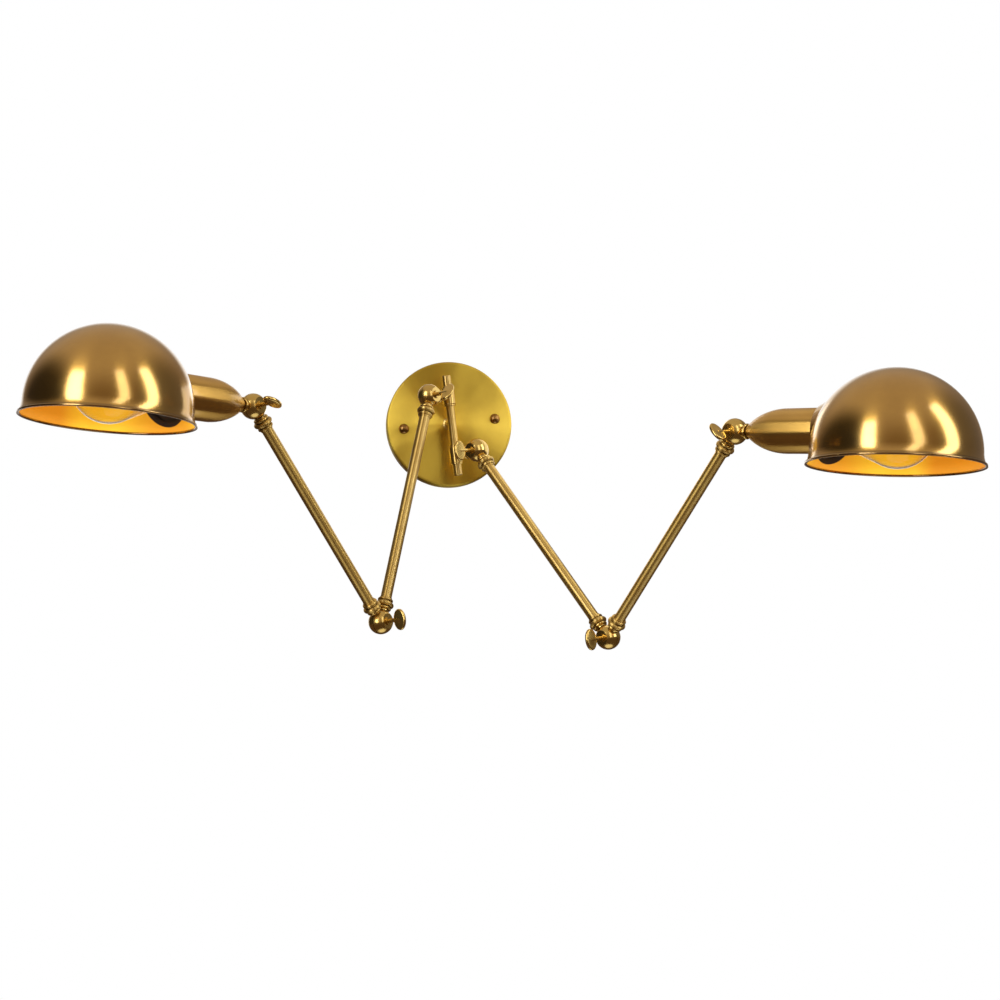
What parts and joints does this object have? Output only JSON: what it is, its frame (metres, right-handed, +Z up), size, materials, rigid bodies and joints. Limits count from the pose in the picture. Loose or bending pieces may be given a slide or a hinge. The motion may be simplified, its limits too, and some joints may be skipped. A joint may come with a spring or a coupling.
{
  "type": "swing arm wall lamp",
  "caption": "Brass wall lamp with jointed swing arms on a round wall plate, each ending in a dome shade on a tilting, turning socket cup.",
  "frame": {"origin": "middle of the wall plate's back, in the plane of the wall", "axes": "+Y into the wall, so the lamp stands out towards -Y; +Z up; +X to the right of a person who faces the lamp"},
  "size_m": [0.7259, 0.509, 0.3015],
  "materials": {
    "antique_brass": "satin, aged",
    "bright_brass": "bright",
    "zinc_steel": "zinc plated",
    "white_plastic": "matte",
    "black_plastic": "gloss",
    "fibre": "matte",
    "clear_glass": "clear",
    "cap_metal": "bright",
    "filament": "coated filament on a glass stem"
  },
  "bodies": {
    "base": {"wall_plate": "antique_brass", "wall_bracket": "zinc_steel", "cover_screws": "antique_brass", "terminal_block": "white_plastic", "earth_screw": "zinc_steel", "standoff_post": "antique_brass", "post_nut": "zinc_steel", "pivot_bar": "antique_brass", "retaining_rings": "antique_brass"},
    "left_swivel": {"left_swivel_sleeve": "antique_brass", "left_base_knuckle_inner": "antique_brass", "left_base_friction_washer": "fibre"},
    "left_base_key": {"left_base_thumb_key": "antique_brass"},
    "left_lower_arm": {"left_base_knuckle_outer": "antique_brass", "left_lower_tube": "antique_brass", "left_lower_ferrules": "antique_brass", "left_elbow_knuckle_inner": "antique_brass", "left_elbow_friction_washer": "fibre"},
    "left_elbow_key": {"left_elbow_thumb_key": "antique_brass"},
    "left_upper_arm": {"left_elbow_knuckle_outer": "antique_brass", "left_upper_tube": "antique_brass", "left_upper_ferrules": "antique_brass", "left_head_knuckle_inner": "antique_brass", "left_head_friction_washer": "fibre"},
    "left_head_key": {"left_head_thumb_key": "antique_brass"},
    "left_head": {"left_head_knuckle_outer": "antique_brass"},
    "left_shade": {"left_socket_cup": "antique_brass", "left_lamp_holder": "black_plastic", "left_socket_contacts": "bright_brass", "left_shade_ring": "black_plastic", "left_shade": "antique_brass", "left_bulb_glass": "clear_glass", "left_bulb_cap": "cap_metal", "left_bulb_filament": "filament"},
    "right_swivel": {"right_swivel_sleeve": "antique_brass", "right_base_knuckle_inner": "antique_brass", "right_base_friction_washer": "fibre"},
    "right_base_key": {"right_base_thumb_key": "antique_brass"},
    "right_lower_arm": {"right_base_knuckle_outer": "antique_brass", "right_lower_tube": "antique_brass", "right_lower_ferrules": "antique_brass", "right_elbow_knuckle_inner": "antique_brass", "right_elbow_friction_washer": "fibre"},
    "right_elbow_key": {"right_elbow_thumb_key": "antique_brass"},
    "right_upper_arm": {"right_elbow_knuckle_outer": "antique_brass", "right_upper_tube": "antique_brass", "right_upper_ferrules": "antique_brass", "right_head_knuckle_inner": "antique_brass", "right_head_friction_washer": "fibre"},
    "right_head_key": {"right_head_thumb_key": "antique_brass"},
    "right_head": {"right_head_knuckle_outer": "antique_brass"},
    "right_shade": {"right_socket_cup": "antique_brass", "right_lamp_holder": "black_plastic", "right_socket_contacts": "bright_brass", "right_shade_ring": "black_plastic", "right_shade": "antique_brass", "right_bulb_glass": "clear_glass", "right_bulb_cap": "cap_metal", "right_bulb_filament": "filament"}
  },
  "joints": [
    {"name": "left_arm_swing", "type": "hinge", "parent": "base", "child": "left_swivel", "pos_m": [0, -0.0446, 0.0234], "axis": [0, 0, 1], "range_deg": [-37.5, 47.5]},
    {"name": "left_base_tilt", "type": "hinge", "parent": "left_swivel", "child": "left_lower_arm", "pos_m": [-0.02006, -0.0665, 0.0234], "axis": [-0.7373, 0.6756, 0], "range_deg": [-23.1, 91.9]},
    {"name": "left_elbow_bend", "type": "hinge", "parent": "left_lower_arm", "child": "left_upper_arm", "pos_m": [-0.09389, -0.14706, -0.18125], "axis": [0.7373, -0.6756, 0], "range_deg": [-6.8, 117.2]},
    {"name": "left_head_tilt", "type": "hinge", "parent": "left_upper_arm", "child": "left_head", "pos_m": [-0.18312, -0.24444, 0.00948], "axis": [-0.7373, 0.6756, 0], "range_deg": [-69.7, 110.3]},
    {"name": "left_shade_turn", "type": "hinge", "parent": "left_head", "child": "left_shade", "pos_m": [-0.18312, -0.24444, 0.00948], "axis": [-0.673, -0.7345, 0.0872], "range_deg": [-38.6, 51.4]},
    {"name": "left_base_key_turn", "type": "hinge", "parent": "left_swivel", "child": "left_base_key", "pos_m": [-0.02006, -0.0665, 0.0234], "axis": [0.7373, -0.6756, 0], "range_deg": [0, 180]},
    {"name": "left_elbow_key_turn", "type": "hinge", "parent": "left_lower_arm", "child": "left_elbow_key", "pos_m": [-0.09389, -0.14706, -0.18125], "axis": [0.7373, -0.6756, 0], "range_deg": [0, 180]},
    {"name": "left_head_key_turn", "type": "hinge", "parent": "left_upper_arm", "child": "left_head_key", "pos_m": [-0.18312, -0.24444, 0.00948], "axis": [0.7373, -0.6756, 0], "range_deg": [0, 180]},
    {"name": "right_arm_swing", "type": "hinge", "parent": "base", "child": "right_swivel", "pos_m": [0, -0.0446, -0.0323], "axis": [0, 0, 1], "range_deg": [-42.2, 42.8]},
    {"name": "right_base_tilt", "type": "hinge", "parent": "right_swivel", "child": "right_lower_arm", "pos_m": [0.01796, -0.06826, -0.0323], "axis": [-0.7965, -0.6046, 0], "range_deg": [-31.4, 83.6]},
    {"name": "right_elbow_bend", "type": "hinge", "parent": "right_lower_arm", "child": "right_upper_arm", "pos_m": [0.10119, -0.17792, -0.21904], "axis": [0.7965, 0.6046, 0], "range_deg": [-28.1, 95.9]},
    {"name": "right_head_tilt", "type": "hinge", "parent": "right_upper_arm", "child": "right_head", "pos_m": [0.20494, -0.3146, -0.0629], "axis": [-0.7965, -0.6046, 0], "range_deg": [-69.3, 110.7]},
    {"name": "right_shade_turn", "type": "hinge", "parent": "right_head", "child": "right_shade", "pos_m": [0.20494, -0.3146, -0.0629], "axis": [0.5981, -0.788, -0.1461], "range_deg": [-36.6, 53.4]},
    {"name": "right_base_key_turn", "type": "hinge", "parent": "right_swivel", "child": "right_base_key", "pos_m": [0.01796, -0.06826, -0.0323], "axis": [-0.7965, -0.6046, 0], "range_deg": [0, 180]},
    {"name": "right_elbow_key_turn", "type": "hinge", "parent": "right_lower_arm", "child": "right_elbow_key", "pos_m": [0.10119, -0.17792, -0.21904], "axis": [-0.7965, -0.6046, 0], "range_deg": [0, 180]},
    {"name": "right_head_key_turn", "type": "hinge", "parent": "right_upper_arm", "child": "right_head_key", "pos_m": [0.20494, -0.3146, -0.0629], "axis": [-0.7965, -0.6046, 0], "range_deg": [0, 180]}
  ]
}
